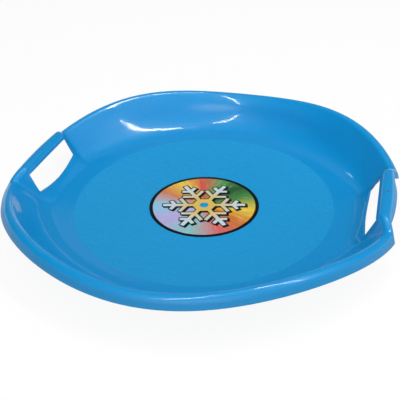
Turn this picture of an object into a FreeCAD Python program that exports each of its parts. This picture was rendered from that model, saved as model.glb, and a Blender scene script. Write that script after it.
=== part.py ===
"""Saucer sled: a moulded dish with two hand grips in its rim, and a round label on its floor.

Millimetres, +Z up. The origin is the middle of the flat underside, X runs from grip to grip
and Y from front to back.
"""
import FreeCAD, Part
import math
import os

import Sketcher

SIZES = (
    ("wall", 2.6, "thickness of the moulding all over"),
    ("rim_radius", 289.0, "crest of the rim in plan"),
    ("rim_height", 62.8, "mean height of the crest over the floor"),
    ("rim_dip", 8.6, "how far the rim runs down to the grips"),
    ("rim_swell", 8.0, "how far the rim rises on its four quarters"),
    ("crest_round", 9.0, "radius over the top of the rim and the grips"),
    ("flange_flare", 18.0, "lean of the outer flange from upright, degrees"),
    ("flange_length", 8.8, "straight length of the outer flange"),
    ("wall_run", 42.0, "from the foot of the wall out to the crest, in plan"),
    ("foot_run", 41.5, "from the edge of the floor out to the foot of the wall"),
    ("foot_fillet", 55.0, "hollow between floor and wall"),
    ("grip_fillet", 34.0, "the same hollow under the grips"),
    ("fillet_fade", 110.0, "how far hollow and wall take to change their curve beside a grip"),
    ("wall_hollow", 160.0, "inward curve of the wall on the four quarters"),
    ("wall_flare", 38.0, "outward curve of the wall at the front and back"),
    ("flare_start", 30.0, "where the wall begins to flare, degrees from the X axis"),
    ("flare_end", 88.0, "where the wall is fully flared, degrees from the X axis"),
    ("floor_flat", 88.0, "radius of the level middle of the floor"),
    ("floor_rise", 8.2, "height of the floor's edge over its middle"),
    ("floor_slope", 6.0, "slope of the floor where it meets the wall, degrees"),
    ("hole_length", 124.0, "hand hole, along the grip"),
    ("hole_bottom", 25.9, "lower corners of the hand hole over the floor"),
    ("hole_bow", 8.0, "how far the lower edge bows down between its corners"),
    ("hole_round", 1.2, "corner radius of the hand hole"),
    ("grip_height", 65.6, "top of the grip over the floor"),
    ("grip_depth", 10.2, "from the top of the grip down to the hand hole"),
    ("grip_set", 21.6, "from the foot of the wall out to the grip's straight inner shoulder"),
    ("grip_flat", 1.8, "level width between the grip's shoulders at its ends"),
    ("grip_bow", 2.2, "how far the grip's outer shoulder bows out in its middle"),
    ("grip_flare", 34.0, "lean of the flange from upright in the middle of a grip, degrees"),
    ("grip_step", 22.0, "length over which the grip steps out to the rim"),
    ("cord_hole", 4.4, "diameter of the hole in the top of each grip"),
    ("label_margin", 2.5, "level floor left around the label"),
    ("label_hole", 14.0, "diameter of the hole in the middle of the label"),
    ("label_thickness", 0.3, "printed film"),
)

doc = FreeCAD.newDocument("saucer_sled")
sheet = doc.addObject("Spreadsheet::Sheet", "Sizes")
for row, (alias, value, note) in enumerate(SIZES, start=1):
    sheet.set(f"A{row}", note)
    sheet.set(f"B{row}", str(value))
    sheet.setAlias(f"B{row}", alias)
doc.recompute()


def size(alias):
    """The sheet's value for one driving dimension."""
    return float(sheet.get(alias))


def blend(start, end, share):
    return start + (end - start) * share


def limited(share):
    return min(max(share, 0.0), 1.0)


# The foot of the wall is where the lines of floor and wall would cross, and the rest hangs on it.
foot_radius = size("rim_radius") - size("wall_run")
floor_edge = foot_radius - size("foot_run")
slope = math.radians(size("floor_slope"))
grip_shoulder = foot_radius + size("grip_set")
grip_edge = grip_shoulder + size("grip_flat") + size("crest_round")
grip_half = size("hole_length") / 2
grip_end = math.atan(grip_half / grip_edge)
rim_end = math.atan((grip_half + size("grip_step")) / grip_edge)
fade_end = math.asin((grip_half + size("fillet_fade")) / size("rim_radius"))
flare_start, flare_end = math.radians(size("flare_start")), math.radians(size("flare_end"))


def crest(turn):
    """Inner and outer shoulder radius, height and flange lean of the rim at an angle from the X axis."""
    out_of_step = limited((rim_end - turn) / (rim_end - grip_end))
    grip = out_of_step * (2 - out_of_step)
    middle = max(1 - (math.tan(turn) / math.tan(grip_end)) ** 2, 0.0)
    inner_shoulder = grip_shoulder / math.cos(turn)
    outer_shoulder = inner_shoulder + size("grip_flat") + size("grip_bow") * middle
    wave = size("rim_dip") * math.cos(2 * turn) + size("rim_swell") * math.cos(4 * turn)
    inner = blend(size("rim_radius"), inner_shoulder, grip)
    outer = blend(size("rim_radius"), outer_shoulder, grip)
    height = blend(size("rim_height") - wave, size("grip_height"), grip)
    lean = blend(size("flange_flare"), size("grip_flare") * middle, grip)
    return inner, outer, height, math.radians(lean)


def eased(share):
    """Smooth rise from 0 to 1."""
    share = limited(share)
    return share * share * (3 - 2 * share)


def under_grip(turn):
    """1 under a grip, falling to 0 where the wall has its full curves."""
    return eased((fade_end - turn) / (fade_end - grip_end))


def foot_fillet(turn, bend):
    """Radius between floor and wall, no larger than the floor's edge leaves room for."""
    wanted = blend(size("foot_fillet"), size("grip_fillet"), under_grip(turn))
    return min(wanted, size("foot_run") / math.tan(bend / 2))


STRAIGHT_CURVE = 1e-5


def wall_curve(turn):
    """Curvature of the wall: below 0 where it is hollow, above 0 where it flares, about 0 at the grips."""
    flared = eased((turn - flare_start) / (flare_end - flare_start))
    curve = blend(-1 / size("wall_hollow"), 1 / size("wall_flare"), flared)
    curve = blend(curve, 0.0, under_grip(turn))
    return math.copysign(max(abs(curve), STRAIGHT_CURVE), curve)


def wall_centre(radius, hollow, fillet, top):
    """Centre of the curve that leaves the hollow and runs into the crest without a kink."""
    from_hollow, from_top = radius + fillet, radius - size("crest_round")
    gap = math.hypot(top[0] - hollow[0], top[1] - hollow[1])
    along = ((from_hollow - from_top) * (from_hollow + from_top) + gap ** 2) / (2 * gap)
    aside = math.copysign(math.sqrt(max(from_hollow ** 2 - along ** 2, 0.0)), radius)
    out, up = (top[0] - hollow[0]) / gap, (top[1] - hollow[1]) / gap
    return hollow[0] + out * along + up * aside, hollow[1] + up * along - out * aside


def steepness(low, high, side):
    """Angle from level of the wall where the line between two centres crosses it."""
    return math.atan2(side * (high[0] - low[0]), side * (low[1] - high[1]))


def arc(centre, radius, first, last, count):
    """Points on a circle by the direction of its normal from straight up, towards the rim."""
    turns = [blend(first, last, k / (count - 1)) for k in range(count)]
    return [(centre[0] + radius * math.sin(a), centre[1] + radius * math.cos(a)) for a in turns]


def between(start, end, count):
    """Points strictly between two points."""
    shares = [(k + 1) / (count + 1) for k in range(count)]
    return [(blend(start[0], end[0], s), blend(start[1], end[1], s)) for s in shares]


FLOOR_POINTS = 6
FOOT_POINTS = 7
WALL_POINTS = 6
CREST_POINTS = 6
FLANGE_POINTS = 2


def section(turn, depth):
    """Radius and height along the dish at one angle, on the skin that lies depth under the top one."""
    flat, edge = size("floor_flat"), floor_edge
    inner, outer, height, flare = crest(turn)
    round_top = size("crest_round")
    rise = size("floor_rise")
    foot = (foot_radius, rise + size("foot_run") * math.tan(slope))
    crest_low = height - round_top
    run = math.hypot(inner - foot[0], crest_low - foot[1])
    lean = math.atan2(crest_low - foot[1], inner - foot[0]) + math.asin(round_top / run)
    fillet = foot_fillet(turn, lean - slope)
    back = fillet * math.tan((lean - slope) / 2)
    hollow = (
        foot[0] - back * math.cos(slope) - fillet * math.sin(slope),
        foot[1] - back * math.sin(slope) + fillet * math.cos(slope),
    )
    floor_radii = [blend(flat, edge, k / FLOOR_POINTS) for k in range(FLOOR_POINTS + 1)]
    floor = [(r, rise * ((r - flat) / (edge - flat)) ** 2 - depth) for r in floor_radii]
    top = (inner, crest_low)
    wall_radius = 1 / wall_curve(turn)
    centre = wall_centre(wall_radius, hollow, fillet, top)
    low_lean = steepness(hollow, centre, wall_radius)
    high_lean = steepness(top, centre, wall_radius)
    under = [(r, -z) for r, z in arc((0, 0), fillet + depth, slope, low_lean, FOOT_POINTS)]
    foot_arc = [(hollow[0] + r, hollow[1] + z) for r, z in under]
    wall = arc(centre, wall_radius - depth, -low_lean, -high_lean, WALL_POINTS)
    inner_arc = arc(top, round_top - depth, -high_lean, 0, CREST_POINTS)
    outer_arc = arc((outer, crest_low), round_top - depth, 0, math.pi / 2 - flare, CREST_POINTS)
    lip = (
        outer_arc[-1][0] + size("flange_length") * math.sin(flare),
        outer_arc[-1][1] - size("flange_length") * math.cos(flare),
    )
    flange = between(outer_arc[-1], lip, FLANGE_POINTS)
    return floor + foot_arc + wall[1:-1] + inner_arc + outer_arc + flange + [lip]


GRIP_SECTIONS = 4
STEP_SECTIONS = 9
RIM_SECTIONS = 30


def quarter_turns():
    """Angles of the sections from the middle of a grip to the front, closest where the grip steps out."""
    grip = [grip_end * k / GRIP_SECTIONS for k in range(GRIP_SECTIONS)]
    step = [blend(grip_end, rim_end, k / STEP_SECTIONS) for k in range(STEP_SECTIONS)]
    rim = [blend(rim_end, math.pi / 2, k / RIM_SECTIONS) for k in range(RIM_SECTIONS)]
    return grip + step + rim


def all_turns():
    """The same angles carried round by the symmetry about X and Y: (angle round Z, angle from the X axis)."""
    quarter = quarter_turns()
    first = [(a, a) for a in quarter]
    second = [(math.pi - a, a) for a in reversed(quarter[1:])]
    half = first + [(math.pi / 2, math.pi / 2)] + second
    return half + [(a + math.pi, turn) for a, turn in half]


DEGREE = 3


def skin(depth):
    """One smooth surface through the sections, closed round Z, from the level floor to the flange's edge."""
    rows = []
    for angle, turn in all_turns():
        points = section(turn, depth)
        lift = size("wall")
        rows.append([FreeCAD.Vector(r * math.cos(angle), r * math.sin(angle), z + lift) for r, z in points])
    poles = [list(ring) for ring in zip(*rows)]
    along = len(poles) - DEGREE
    around = len(rows)
    surface = Part.BSplineSurface()
    surface.buildFromPolesMultsKnots(
        poles,
        [DEGREE + 1] + [1] * (along - 1) + [DEGREE + 1],
        [1] * (around + 1),
        list(range(along + 1)),
        list(range(around + 1)),
        False,
        True,
        DEGREE,
        DEGREE,
    )
    return surface


def edge_of(surface, end):
    """The closed edge at the floor (0) or at the flange (1) of a skin."""
    first, last = surface.bounds()[:2]
    return surface.uIso(blend(first, last, end)).toShape()


def moulding():
    """The dish before its holes: two skins, the level floor between them and the flange's edge."""
    top, bottom = skin(0.0), skin(size("wall"))
    lip = Part.makeRuledSurface(edge_of(top, 1), edge_of(bottom, 1))
    floors = [Part.Face(Part.Wire([edge_of(s, 0)])) for s in (top, bottom)]
    faces = Part.makeCompound([top.toShape(), bottom.toShape(), lip] + floors)
    faces.sewShape()
    solid = Part.Solid(Part.Shell(faces.Faces))
    if solid.Volume < 0:
        solid.reverse()
    return solid


dish = doc.addObject("Part::Feature", "dish_moulding")
dish.Shape = moulding()
dish.Placement = FreeCAD.Placement()


def origin_plane(body, role):
    return [feature for feature in body.Origin.OriginFeatures if feature.Role == role][0]


def sketch_on(body, name, role, offset):
    """A sketch on one of the body's origin planes, moved along that plane's normal by an expression."""
    sketch = body.newObject("Sketcher::SketchObject", name)
    sketch.AttachmentSupport = [(origin_plane(body, role), "")]
    sketch.MapMode = "FlatFace"
    sketch.setExpression("AttachmentOffset.Base.z", offset)
    return sketch


def dimension(sketch, name, expression, *where):
    """A driving constraint of a sketch, tied to the sheet."""
    number = sketch.addConstraint(Sketcher.Constraint(*where))
    sketch.renameConstraint(number, name)
    sketch.setExpression(f"Constraints.{name}", expression)


def pad(body, name, sketch, length):
    feature = body.newObject("PartDesign::Pad", name)
    feature.Profile = sketch
    feature.setExpression("Length", length)
    doc.recompute()
    return feature


ORIGIN_INDEX, UPRIGHT_INDEX = -1, -2
START_INDEX, END_INDEX, CENTRE_INDEX = 1, 2, 3


def hand_hole():
    """What is cut out under the right grip: straight along the grip, bowed along the lower edge."""
    body = doc.addObject("PartDesign::Body", "hand_hole")
    sketch = sketch_on(body, "hole_outline", "YZ_Plane", "Sizes.rim_radius - Sizes.wall_run - Sizes.foot_run")
    half = size("hole_length") / 2
    top = size("grip_height") - size("grip_depth") + size("wall")
    bottom = size("hole_bottom") + size("wall")
    low_left, high_left = FreeCAD.Vector(-half, bottom, 0), FreeCAD.Vector(-half, top, 0)
    high_right, low_right = FreeCAD.Vector(half, top, 0), FreeCAD.Vector(half, bottom, 0)
    lowest = FreeCAD.Vector(0, bottom - size("hole_bow"), 0)
    left = sketch.addGeometry(Part.LineSegment(low_left, high_left))
    upper = sketch.addGeometry(Part.LineSegment(high_left, high_right))
    right = sketch.addGeometry(Part.LineSegment(high_right, low_right))
    bow = sketch.addGeometry(Part.Arc(low_left, lowest, low_right))
    corners = (
        (left, END_INDEX, upper, START_INDEX),
        (upper, END_INDEX, right, START_INDEX),
        (right, END_INDEX, bow, END_INDEX),
        (left, START_INDEX, bow, START_INDEX),
    )
    for corner in corners:
        sketch.addConstraint(Sketcher.Constraint("Coincident", *corner))
    sketch.addConstraint(Sketcher.Constraint("Vertical", left))
    sketch.addConstraint(Sketcher.Constraint("Horizontal", left, START_INDEX, right, END_INDEX))
    ends, zero = (upper, START_INDEX, upper, END_INDEX), (ORIGIN_INDEX, START_INDEX)
    sketch.addConstraint(Sketcher.Constraint("Symmetric", *ends, UPRIGHT_INDEX))
    dimension(sketch, "length", "Sizes.hole_length", "DistanceX", *ends, 2 * half)
    high = "Sizes.grip_height - Sizes.grip_depth + Sizes.wall"
    low = "Sizes.hole_bottom + Sizes.wall"
    dimension(sketch, "top", high, "DistanceY", *zero, upper, START_INDEX, top)
    dimension(sketch, "bottom", low, "DistanceY", *zero, left, START_INDEX, bottom)
    curve = "((Sizes.hole_length / 2) ^ 2 + Sizes.hole_bow ^ 2) / (2 * Sizes.hole_bow)"
    radius = (half ** 2 + size("hole_bow") ** 2) / (2 * size("hole_bow"))
    dimension(sketch, "curve", curve, "Radius", bow, radius)
    block = pad(body, "hole_block", sketch, "Sizes.foot_run + Sizes.grip_set")
    rounds = body.newObject("PartDesign::Fillet", "hole_corners")
    edges = block.Shape.Edges
    along = [k for k, edge in enumerate(edges, start=1) if abs(edge.tangentAt(edge.FirstParameter).x) > 0.5]
    rounds.Base = (block, [f"Edge{k}" for k in along])
    rounds.setExpression("Radius", "Sizes.hole_round")
    body.Tip = rounds
    return body


def cord_hole():
    """The small hole through the top of the right grip, midway between its two shoulders."""
    drill = doc.addObject("Part::Cylinder", "cord_hole")
    drill.setExpression("Radius", "Sizes.cord_hole / 2")
    drill.setExpression("Height", "3 * Sizes.wall")
    drill.setExpression("Placement.Base.z", "Sizes.grip_height - Sizes.wall")
    shoulder = "Sizes.rim_radius - Sizes.wall_run + Sizes.grip_set"
    drill.setExpression("Placement.Base.x", f"{shoulder} + (Sizes.grip_flat + Sizes.grip_bow) / 2")
    return drill


def mirrored(source):
    """The same cut on the left grip."""
    copy = doc.addObject("Part::Mirroring", f"left_{source.Name}")
    copy.Source = source
    copy.Normal = FreeCAD.Vector(1, 0, 0)
    return copy


cuts = [hand_hole(), cord_hole()]
cuts += [mirrored(cut) for cut in cuts]
openings = doc.addObject("Part::MultiFuse", "grip_openings")
openings.Shapes = cuts

shell = doc.addObject("Part::Cut", "saucer_shell")
shell.Base = dish
shell.Tool = openings

# The label lies on the level middle of the floor, with a hole around the moulding's gate.
label = doc.addObject("PartDesign::Body", "centre_label")
rings = sketch_on(label, "label_outline", "XY_Plane", "Sizes.wall")
label_radius = size("floor_flat") - size("label_margin")
for name, radius, expression in (
    ("outside", label_radius, "Sizes.floor_flat - Sizes.label_margin"),
    ("gate", size("label_hole") / 2, "Sizes.label_hole / 2"),
):
    ring = rings.addGeometry(Part.Circle(FreeCAD.Vector(0, 0, 0), FreeCAD.Vector(0, 0, 1), radius))
    rings.addConstraint(Sketcher.Constraint("Coincident", ring, CENTRE_INDEX, ORIGIN_INDEX, START_INDEX))
    dimension(rings, name, expression, "Radius", ring, radius)
label.Tip = pad(label, "label_film", rings, "Sizes.label_thickness")

doc.recompute()
for item in doc.Objects:
    if "Invalid" in item.State or "Error" in item.State:
        raise RuntimeError(f"{item.Name} did not build: {item.State}")
removed = dish.Shape.Volume - shell.Shape.Volume
print("cut from the dish, cubic mm:", round(removed), "left:", round(shell.Shape.Volume))

os.makedirs("parts", exist_ok=True)
for piece in (shell, label):
    if piece.Shape.isNull() or not piece.Shape.isValid() or len(piece.Shape.Solids) != 1:
        raise RuntimeError(f"{piece.Label} is not one valid solid")
    piece.Shape.exportStep(f"parts/{piece.Label}.step")
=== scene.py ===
"""Saucer sled: the look of a blue moulded dish with two grips in its rim and a round printed label.

Metres, +Z up. The solids come in finished; here each gets the surface that the real piece has,
and the whole is set on a white floor under ceiling tubes.
"""

import math

import bpy
from mathutils import Matrix, Vector

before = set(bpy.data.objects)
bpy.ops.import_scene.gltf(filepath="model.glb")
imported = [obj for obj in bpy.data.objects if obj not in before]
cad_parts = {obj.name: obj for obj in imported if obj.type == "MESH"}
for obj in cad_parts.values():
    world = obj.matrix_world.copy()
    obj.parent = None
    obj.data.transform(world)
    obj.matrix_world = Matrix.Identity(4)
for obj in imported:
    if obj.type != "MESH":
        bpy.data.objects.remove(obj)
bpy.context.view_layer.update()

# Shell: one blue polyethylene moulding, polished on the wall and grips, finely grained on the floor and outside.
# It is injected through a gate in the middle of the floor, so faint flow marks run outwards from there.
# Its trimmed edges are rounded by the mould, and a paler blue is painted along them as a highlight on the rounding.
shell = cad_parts["saucer_shell"]
grain_radius = 0.2055
grain_squeeze = 1.035
grain_edge = 0.0012
grain_height = 0.00006
ripple_height = 0.00003
edge_round = 0.0011
edge_highlight_share = 0.2
grained_share = 0.8
deep_blue = (0.0015, 0.243, 0.556, 1)
clear_blue = (0.0025, 0.265, 0.604, 1)
edge_highlight_blue = (0.06, 0.38, 0.70, 1)
grained_blue = (0.002, 0.294, 0.608, 1)
polish_best, polish_worst = 0.05, 0.10
pit_dulling = 0.30
grain_dulling = 0.2
outside_share = 1.6


def put(tree, kind, inputs=None, **settings):
    """Adds a node. An input is given by name or number and takes a value or another node's output."""
    made = tree.nodes.new(kind)
    for name, value in settings.items():
        setattr(made, name, value)
    for key, value in (inputs or {}).items():
        if isinstance(value, bpy.types.NodeSocket):
            tree.links.new(value, made.inputs[key])
        else:
            made.inputs[key].default_value = value
    return made


def calc(tree, operation, *values):
    """The result of one sum on numbers or sockets."""
    return put(tree, "ShaderNodeMath", dict(enumerate(values)), operation=operation).outputs[0]


def fade(tree, value, start, end):
    """Runs smoothly from 0 at start to 1 at end."""
    limits = {"Value": value, "From Min": start, "From Max": end}
    return put(tree, "ShaderNodeMapRange", limits, interpolation_type="SMOOTHSTEP").outputs["Result"]


def tint(tree, share, below, above):
    """One colour laid over another by a share."""
    return put(tree, "ShaderNodeMix", {0: share, 6: below, 7: above}, data_type="RGBA").outputs[2]


def speckle(tree, place, scale, detail, roughness=0.5):
    """Cloudy noise from 0 to 1, with about as many spots to the metre as its scale."""
    look = {"Vector": place, "Scale": scale, "Detail": detail, "Roughness": roughness}
    return put(tree, "ShaderNodeTexNoise", look).outputs[0]


def likeness(tree, one, other):
    """The cosine of the angle between two directions."""
    return put(tree, "ShaderNodeVectorMath", {0: one, 1: other}, operation="DOT_PRODUCT").outputs["Value"]


def polar(tree, place):
    """Distance from the Z axis and angle round it, of a place in the piece's own frame."""
    axes = put(tree, "ShaderNodeSeparateXYZ", {0: place}).outputs
    flat = put(tree, "ShaderNodeCombineXYZ", {"X": axes["X"], "Y": axes["Y"]}).outputs[0]
    radius = put(tree, "ShaderNodeVectorMath", {0: flat}, operation="LENGTH").outputs["Value"]
    return radius, calc(tree, "ARCTAN2", axes["Y"], axes["X"])


def outwards(tree, angle, height=0):
    """The level direction at an angle round the Z axis, raised by a height."""
    across = {"X": calc(tree, "COSINE", angle), "Y": calc(tree, "SINE", angle), "Z": height}
    return put(tree, "ShaderNodeCombineXYZ", across).outputs[0]


plastic = bpy.data.materials.new("blue_polyethylene")
plastic.use_nodes = True
tree = plastic.node_tree
shader = tree.nodes["Principled BSDF"]
place = put(tree, "ShaderNodeTexCoord").outputs["Object"]
radius, angle = polar(tree, place)
oval = put(tree, "ShaderNodeMapping", {"Vector": place, "Scale": (grain_squeeze, 1, 1)}).outputs[0]
grained = fade(tree, polar(tree, oval)[0], grain_radius + grain_edge, grain_radius)

clouds = speckle(tree, place, 11, 4)
flow = speckle(tree, outwards(tree, angle, calc(tree, "MULTIPLY", radius, 2.5)), 9, 5, 0.6)
mottle = calc(tree, "ADD", calc(tree, "MULTIPLY", clouds, 0.6), calc(tree, "MULTIPLY", flow, 0.4))
blue = tint(tree, mottle, deep_blue, clear_blue)
blue = tint(tree, calc(tree, "MULTIPLY", grained, grained_share), blue, grained_blue)

rounded = put(tree, "ShaderNodeBevel", {"Radius": edge_round}, samples=8).outputs[0]
facing = put(tree, "ShaderNodeNewGeometry").outputs["Normal"]
outside = fade(tree, likeness(tree, facing, outwards(tree, angle)), 0.50, 0.90)
# Painted highlight: a paler blue is laid along rounded edges and creases, where light would catch the rounding.
edge = fade(tree, likeness(tree, rounded, facing), 0.985, 0.80)
colour = tint(tree, calc(tree, "MULTIPLY", edge, edge_highlight_share), blue, edge_highlight_blue)
tree.links.new(colour, shader.inputs["Base Color"])

smears = speckle(tree, place, 38, 6, 0.65)
smeared = {"Value": smears, "To Min": polish_best, "To Max": polish_worst}
polish = put(tree, "ShaderNodeMapRange", smeared).outputs[0]
pits = fade(tree, speckle(tree, place, 1700, 1), 0.51, 0.55)
polish = calc(tree, "ADD", polish, calc(tree, "MULTIPLY", pits, pit_dulling))
matt_parts = calc(tree, "MAXIMUM", grained, calc(tree, "MULTIPLY", outside, outside_share))
polish = calc(tree, "ADD", polish, calc(tree, "MULTIPLY", matt_parts, grain_dulling))
tree.links.new(polish, shader.inputs["Roughness"])

grain = calc(tree, "MULTIPLY", speckle(tree, place, 850, 3), calc(tree, "MULTIPLY", grained, grain_height))
ripple = calc(tree, "MULTIPLY", speckle(tree, place, 42, 1), ripple_height)
relief = {"Height": calc(tree, "ADD", grain, ripple), "Distance": 1, "Normal": rounded}
tree.links.new(put(tree, "ShaderNodeBump", relief).outputs[0], shader.inputs["Normal"])
shader.inputs["IOR"].default_value = 1.5
shader.inputs["Specular IOR Level"].default_value = 0.5
for material_slot in shell.material_slots:
    material_slot.material = plastic

# Label: a round of printed film stuck to the level middle of the floor, with a hole left for the gate.
# A black border holds a sunburst of airbrushed colours, and on it lies a six-armed snow crystal
# with a dark outline and a dropped shadow.
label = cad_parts["centre_label"]
label_radius = 0.0855
border_width = 0.0054
print_turn = math.radians(-14)
crystal_arm = 0.064
crystal_hub = 0.0165
stem_half_width = 0.0032
branch_half_width = 0.0028
branches = ((0.027, 0.021), (0.045, 0.0135))
shadow_slip = (0.0022, -0.0030)
ink_black = (0.003, 0.003, 0.004, 1)
paper_white = (0.86, 0.85, 0.80, 1)
crystal_gold = (0.66, 0.46, 0.09, 1)
crystal_ice = (0.50, 0.64, 0.70, 1)
sunburst = (
    (0.00, (0.24, 0.52, 0.70, 1)),
    (0.10, (0.44, 0.36, 0.64, 1)),
    (0.20, (0.20, 0.50, 0.52, 1)),
    (0.30, (0.62, 0.12, 0.12, 1)),
    (0.39, (0.56, 0.16, 0.02, 1)),
    (0.47, (0.74, 0.54, 0.05, 1)),
    (0.55, (0.06, 0.24, 0.05, 1)),
    (0.62, (0.015, 0.08, 0.02, 1)),
    (0.69, (0.09, 0.30, 0.08, 1)),
    (0.76, (0.60, 0.08, 0.06, 1)),
    (0.83, (0.75, 0.56, 0.06, 1)),
    (0.91, (0.58, 0.18, 0.07, 1)),
    (1.00, (0.24, 0.52, 0.70, 1)),
)

film = bpy.data.materials.new("printed_film")
film.use_nodes = True
tree = film.node_tree
shader = tree.nodes["Principled BSDF"]


def turned_sum(tree, along, aside, turn):
    """How far a place lies in the direction turned from the arm towards its side."""
    return calc(tree, "ADD", calc(tree, "MULTIPLY", along, math.cos(turn)),
                calc(tree, "MULTIPLY", aside, math.sin(turn)))


def crystal_tree():
    """A node group that gives the distance from a place to the edge of the snow crystal, below zero inside."""
    group = bpy.data.node_groups.new("snow_crystal", "ShaderNodeTree")
    group.interface.new_socket("Place", in_out="INPUT", socket_type="NodeSocketVector")
    group.interface.new_socket("Distance", in_out="OUTPUT", socket_type="NodeSocketFloat")
    radius, angle = polar(group, group.nodes.new("NodeGroupInput").outputs["Place"])
    folded = calc(group, "PINGPONG", angle, math.pi / 6)
    along = calc(group, "MULTIPLY", radius, calc(group, "COSINE", folded))
    aside = calc(group, "MULTIPLY", radius, calc(group, "SINE", folded))
    shape = calc(group, "MAXIMUM", calc(group, "SUBTRACT", aside, stem_half_width),
                 calc(group, "SUBTRACT", along, crystal_arm))
    hub = calc(group, "SUBTRACT", turned_sum(group, along, aside, math.pi / 6), crystal_hub)
    shape = calc(group, "MINIMUM", shape, hub)
    for root, length in branches:
        out = calc(group, "SUBTRACT", along, root)
        run = turned_sum(group, out, aside, math.pi / 3)
        off = turned_sum(group, out, aside, math.pi * 5 / 6)
        width = calc(group, "SUBTRACT", calc(group, "ABSOLUTE", off), branch_half_width)
        branch = calc(group, "MAXIMUM", width, calc(group, "SUBTRACT", run, length))
        branch = calc(group, "MAXIMUM", branch, calc(group, "MULTIPLY", run, -1))
        shape = calc(group, "MINIMUM", shape, branch)
    group.links.new(shape, group.nodes.new("NodeGroupOutput").inputs["Distance"])
    return group


crystal = crystal_tree()


def crystal_distance(place, slip):
    """Distance to the crystal's edge, with the crystal slipped sideways by (x, y)."""
    moved = put(tree, "ShaderNodeVectorMath", {0: place, 1: (*slip, 0)}, operation="SUBTRACT").outputs[0]
    return put(tree, "ShaderNodeGroup", {"Place": moved}, node_tree=crystal).outputs["Distance"]


place = put(tree, "ShaderNodeTexCoord").outputs["Object"]
upright_print = put(tree, "ShaderNodeMapping", {"Vector": place, "Rotation": (0, 0, print_turn)}).outputs[0]
radius, angle = polar(tree, upright_print)
around = calc(tree, "ADD", calc(tree, "DIVIDE", angle, 2 * math.pi), 0.5)
streaks = speckle(tree, outwards(tree, angle, calc(tree, "MULTIPLY", radius, 3)), 14, 6, 0.7)
strayed = calc(tree, "ADD", around, calc(tree, "MULTIPLY", calc(tree, "SUBTRACT", streaks, 0.5), 0.09))
rays = put(tree, "ShaderNodeValToRGB", {"Fac": calc(tree, "FRACT", strayed)})
stops = rays.color_ramp.elements
while len(stops) < len(sunburst):
    stops.new(0.5)
for stop, (position, shade) in zip(stops, sunburst):
    stop.position, stop.color = position, shade
pale = fade(tree, streaks, 0.52, 0.72)
paint = tint(tree, calc(tree, "MULTIPLY", pale, 0.22), rays.outputs["Color"], paper_white)

shadow = fade(tree, crystal_distance(upright_print, shadow_slip), 0.0021, 0.0017)
paint = tint(tree, shadow, paint, ink_black)
distance = crystal_distance(upright_print, (0, 0))
paint = tint(tree, fade(tree, distance, 0.0020, 0.0016), paint, ink_black)
icy = tint(tree, fade(tree, radius, 0.012, 0.060), crystal_gold, crystal_ice)
paint = tint(tree, fade(tree, distance, 0.0002, -0.0002), paint, icy)
border_start = label_radius - border_width
paint = tint(tree, fade(tree, radius, border_start - 0.0002, border_start), paint, ink_black)
tree.links.new(paint, shader.inputs["Base Color"])
varnish = {"Value": speckle(tree, place, 400, 3), "To Min": 0.28, "To Max": 0.42}
tree.links.new(put(tree, "ShaderNodeMapRange", varnish).outputs[0], shader.inputs["Roughness"])
creases = {"Height": calc(tree, "MULTIPLY", speckle(tree, place, 55, 2), 0.00006), "Distance": 1}
tree.links.new(put(tree, "ShaderNodeBump", creases).outputs[0], shader.inputs["Normal"])
shader.inputs["Specular IOR Level"].default_value = 0.2
for material_slot in label.material_slots:
    material_slot.material = film

# Floor: a wide sheet of white paper. It shows white to the eye and to what mirrors it,
# keeps a faint shadow, and throws only a little light back up.
bpy.ops.mesh.primitive_plane_add(size=40)
floor = bpy.context.object
floor.name = "studio_floor"
paper = bpy.data.materials.new("white_paper")
paper.use_nodes = True
tree = paper.node_tree
tree.nodes.clear()
matt = put(tree, "ShaderNodeBsdfDiffuse", {"Color": (0.25, 0.25, 0.25, 1)}).outputs[0]
shaded = put(tree, "ShaderNodeBsdfDiffuse", {"Color": (0.90, 0.90, 0.90, 1)}).outputs[0]
white = put(tree, "ShaderNodeEmission", {"Color": (1, 1, 1, 1), "Strength": 1}).outputs[0]
bright = put(tree, "ShaderNodeMixShader", {"Fac": 0.92, 1: shaded, 2: white}).outputs[0]
ray = put(tree, "ShaderNodeLightPath").outputs
seen = calc(tree, "MAXIMUM", calc(tree, "MAXIMUM", ray["Is Camera Ray"], ray["Is Glossy Ray"]),
            ray["Is Transmission Ray"])
surface = put(tree, "ShaderNodeMixShader", {"Fac": seen, 1: matt, 2: bright}).outputs[0]
put(tree, "ShaderNodeOutputMaterial", {"Surface": surface})
floor.data.materials.append(paper)

# Room: a pale ceiling overhead and a broad soft window high on the right of the camera, with a fainter glow on its
# left and a bright patch low behind it. The far wall is dim, with a dark band across it and a small light below
# that, and the room is white along the floor.
world = bpy.data.worlds.new("studio")
bpy.context.scene.world = world
world.use_nodes = True
tree = world.node_tree
heading = put(tree, "ShaderNodeTexCoord").outputs["Generated"]
axes = put(tree, "ShaderNodeSeparateXYZ", {0: heading}).outputs


def glow(toward, start, end):
    """A soft round patch of the room, by the cosine of the angle from its middle."""
    return fade(tree, likeness(tree, heading, toward), start, end)


def crossing(*shares):
    """Where all of several parts of the room overlap."""
    overlap = shares[0]
    for share in shares[1:]:
        overlap = calc(tree, "MULTIPLY", overlap, share)
    return overlap


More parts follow.
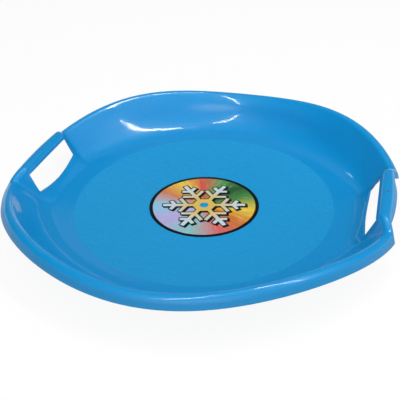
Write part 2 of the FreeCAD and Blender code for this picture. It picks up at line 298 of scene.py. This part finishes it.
far_wall = crossing(fade(tree, axes["Y"], 0.25, 0.55), fade(tree, axes["X"], -0.60, -0.38),
                    fade(tree, axes["Z"], 0.92, 0.72))
lower_wall = crossing(far_wall, fade(tree, axes["Z"], 0.56, 0.52))
dark_band = crossing(fade(tree, axes["Z"], 0.53, 0.56), fade(tree, axes["Z"], 0.65, 0.61),
                     fade(tree, axes["Y"], 0.50, 0.65), fade(tree, axes["X"], -0.33, -0.29))
left_glow = glow((-0.45, -0.60, 0.66), 0.84, 0.95)
far_light = glow((-0.310, 0.808, 0.502), 0.9985, 0.9997)
window = crossing(glow((0.62, -0.42, 0.66), 0.40, 0.95), fade(tree, axes["Z"], 0.28, 0.55))
behind_camera = glow((0.12, -0.96, 0.25), 0.89, 0.985)
ceiling = glow((0.20, 0, 0.98), 0.70, 1)
along_floor = fade(tree, axes["Z"], 0.22, 0.14)
room = (0.04, 0.041, 0.043, 1)
for patch, shade in (
    (far_wall, (0.28, 0.28, 0.29, 1)),
    (lower_wall, (0.13, 0.13, 0.135, 1)),
    (dark_band, (0.008, 0.008, 0.009, 1)),
    (left_glow, (0.20, 0.20, 0.21, 1)),
    (far_light, (0.50, 0.50, 0.51, 1)),
    (window, (0.74, 0.745, 0.76, 1)),
    (behind_camera, (3.8, 3.81, 3.84, 1)),
    (ceiling, (0.40, 0.40, 0.41, 1)),
    (along_floor, (1, 1, 1, 1)),
):
    room = tint(tree, patch, room, shade)
tree.links.new(room, tree.nodes["Background"].inputs["Color"])


# Lamps: bare tubes on a ceiling two metres up.
# They light the floor of the sled and draw the thin bright lines on its wall and rim.
def tube_lamp(name, start, end, width, radiance):
    """A straight tube between two points, shining down or towards the sled."""
    start, end = Vector(start), Vector(end)
    middle, along = (start + end) / 2, (end - start).normalized()
    lamp = bpy.data.lights.new(name, "AREA")
    lamp.shape = "RECTANGLE"
    lamp.size, lamp.size_y = (end - start).length, width
    lamp.energy = radiance * math.pi * lamp.size * lamp.size_y
    toward = -middle.normalized()
    toward = (toward - along * toward.dot(along)).normalized()
    turn = Matrix((along, along.cross(toward) * -1, -toward)).transposed()
    tube = bpy.data.objects.new(name, lamp)
    tube.matrix_world = Matrix.Translation(middle) @ turn.to_4x4()
    bpy.context.collection.objects.link(tube)


tube_lamp("tube_right", start=(0.02, 0.58, 2), end=(2.0, -0.55, 2), width=0.07, radiance=56)
tube_lamp("tube_middle", start=(-0.10, 0.0, 2), end=(-0.50, -2.05, 2), width=0.04, radiance=54)
tube_lamp("tube_far", start=(-1.2, 1.68, 2), end=(-1.6, 1.664, 2), width=0.013, radiance=24)

# Camera: the photograph's viewpoint, a little over a metre away and a third of the way up.
# Its roll and shift set the sled in the frame as the photograph does.
azimuth, elevation, roll = math.radians(16.29), math.radians(33.06), math.radians(-1.44)
camera_distance = 1.0335
aim = Vector((0, 0, 0.0026))
back = Vector((math.sin(azimuth) * math.cos(elevation), -math.cos(azimuth) * math.cos(elevation), math.sin(elevation)))
level = Vector((math.cos(azimuth), math.sin(azimuth), 0))
upward = back.cross(level)
across = level * math.cos(roll) + upward * math.sin(roll)
upright = upward * math.cos(roll) - level * math.sin(roll)
camera_data = bpy.data.cameras.new("photo_camera")
camera_data.lens = 59.547
camera_data.sensor_width = 36
camera_data.shift_x = -0.0102
camera_data.shift_y = 0.01265
camera = bpy.data.objects.new("photo_camera", camera_data)
turn = Matrix((across, upright, back)).transposed()
camera.matrix_world = Matrix.Translation(aim + back * camera_distance) @ turn.to_4x4()
bpy.context.collection.objects.link(camera)
bpy.context.scene.camera = camera
bpy.context.scene.view_settings.view_transform = "Standard"
